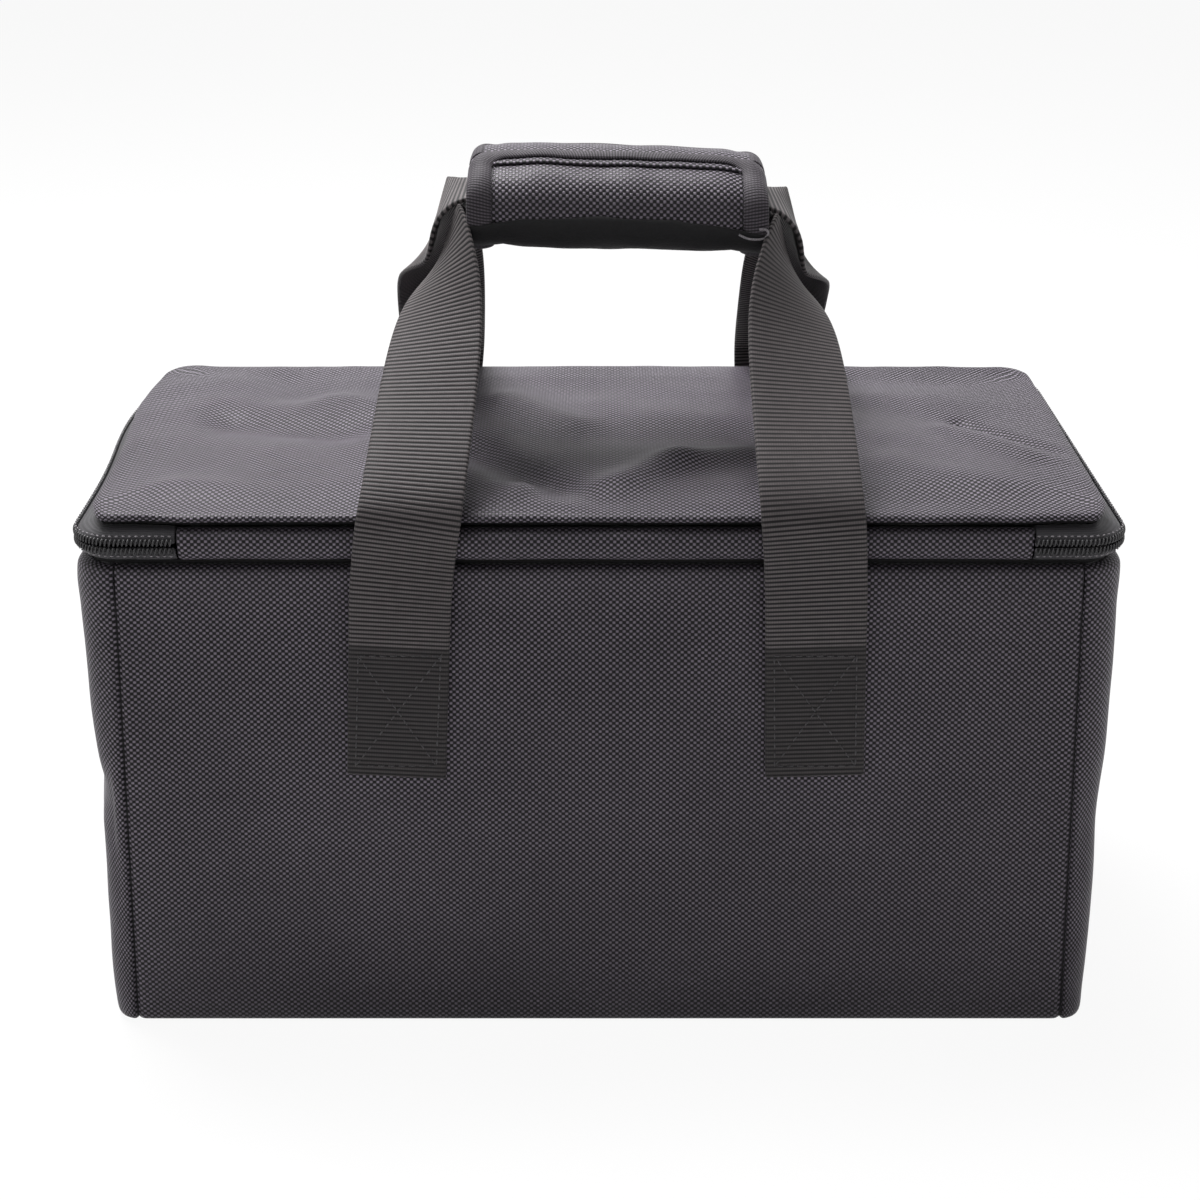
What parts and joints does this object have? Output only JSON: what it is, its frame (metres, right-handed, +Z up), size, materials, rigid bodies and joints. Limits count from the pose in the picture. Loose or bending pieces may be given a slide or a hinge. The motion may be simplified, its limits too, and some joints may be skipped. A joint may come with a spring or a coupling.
{
  "type": "lipo safe bag",
  "caption": "Padded fire-resistant box bag with a zipped full lid on a fabric hinge and two webbing handles that meet in a padded grip, for carrying and charging model batteries.",
  "frame": {"origin": "centre of the flat base, on the surface that the bag stands on", "axes": "+Z up, +X along the length, -Y towards the side that the lid hinges on, +Y towards the side where the zip opens"},
  "size_m": [0.2626, 0.1451, 0.2246],
  "materials": {
    "oxford_skin": "coarse woven oxford nylon, matt with a faint sheen",
    "foam_board": "closed-cell foam",
    "stiff_board": "stiff foam board",
    "fire_lining": "coated glass-fibre cloth",
    "binding_tape": "ribbed nylon tape",
    "zip_tape": "woven polyester tape",
    "zip_coil": "nylon monofilament coil",
    "webbing": "ribbed nylon webbing",
    "slider_metal": "black enamelled zinc",
    "hook_and_loop": "hook-and-loop tape"
  },
  "bodies": {
    "body": {"hinge_side_panel": "oxford_skin", "zip_side_panel": "oxford_skin", "left_end_panel": "oxford_skin", "right_end_panel": "oxford_skin", "base_panel": "oxford_skin", "hinge_side_foam": "foam_board", "zip_side_foam": "foam_board", "left_end_foam": "foam_board", "right_end_foam": "foam_board", "base_board": "stiff_board", "body_lining": "fire_lining", "rim_binding": "binding_tape", "lower_gusset": "oxford_skin", "lower_zip_tape": "zip_tape", "lower_zip_coil": "zip_coil", "near_strap_tails": "webbing", "far_strap_tails": "webbing"},
    "left_slider": {"left_slider": "slider_metal"},
    "left_pull_tab": {"left_pull_tab": "slider_metal"},
    "right_slider": {"right_slider": "slider_metal"},
    "right_pull_tab": {"right_pull_tab": "slider_metal"},
    "lid": {"lid_panel": "oxford_skin", "lid_foam": "foam_board", "lid_lining": "fire_lining", "lid_binding": "binding_tape", "upper_gusset": "oxford_skin", "upper_zip_tape": "zip_tape", "upper_zip_coil": "zip_coil"},
    "near_handle": {"near_strap": "webbing", "near_grip_foam": "foam_board", "near_grip_cover": "oxford_skin", "near_grip_binding": "binding_tape"},
    "grip_flap": {"grip_flap": "oxford_skin", "hook_strip": "hook_and_loop"},
    "far_handle": {"far_strap": "webbing", "far_grip_foam": "foam_board", "far_grip_cover": "oxford_skin", "far_grip_binding": "binding_tape", "loop_strip": "hook_and_loop"}
  },
  "joints": [
    {"name": "lid_hinge", "type": "hinge", "parent": "body", "child": "lid", "pos_m": [0, -0.0665, 0.137], "axis": [1, 0, 0], "range_deg": [0, 105]},
    {"name": "near_handle_fold", "type": "hinge", "parent": "body", "child": "near_handle", "pos_m": [0, -0.06705, 0.111], "axis": [1, 0, 0], "range_deg": [0, 157.5]},
    {"name": "far_handle_fold", "type": "hinge", "parent": "body", "child": "far_handle", "pos_m": [0, 0.06705, 0.111], "axis": [-1, 0, 0], "range_deg": [0, 157.5]},
    {"name": "grip_flap_fold", "type": "hinge", "parent": "near_handle", "child": "grip_flap", "pos_m": [0, -0.012, 0.2212], "axis": [1, 0, 0], "range_deg": [0, 100]},
    {"name": "left_slider_run", "type": "slide", "parent": "body", "child": "left_slider", "axis": [-1, 0, 0], "range_m": [0, 0.078]},
    {"name": "right_slider_run", "type": "slide", "parent": "body", "child": "right_slider", "axis": [1, 0, 0], "range_m": [0, 0.078]},
    {"name": "left_tab_swing", "type": "hinge", "parent": "left_slider", "child": "left_pull_tab", "pos_m": [-0.0075, 0.069, 0.137], "axis": [0, 0, -1], "range_deg": [0, 100]},
    {"name": "right_tab_swing", "type": "hinge", "parent": "right_slider", "child": "right_pull_tab", "pos_m": [0.0075, 0.069, 0.137], "axis": [0, 0, 1], "range_deg": [0, 100]}
  ],
  "couplings": [
    {"joint": "near_handle_fold", "follows": "lid_hinge", "ratio": 1.5},
    {"joint": "far_handle_fold", "follows": "lid_hinge", "ratio": 1.5}
  ]
}
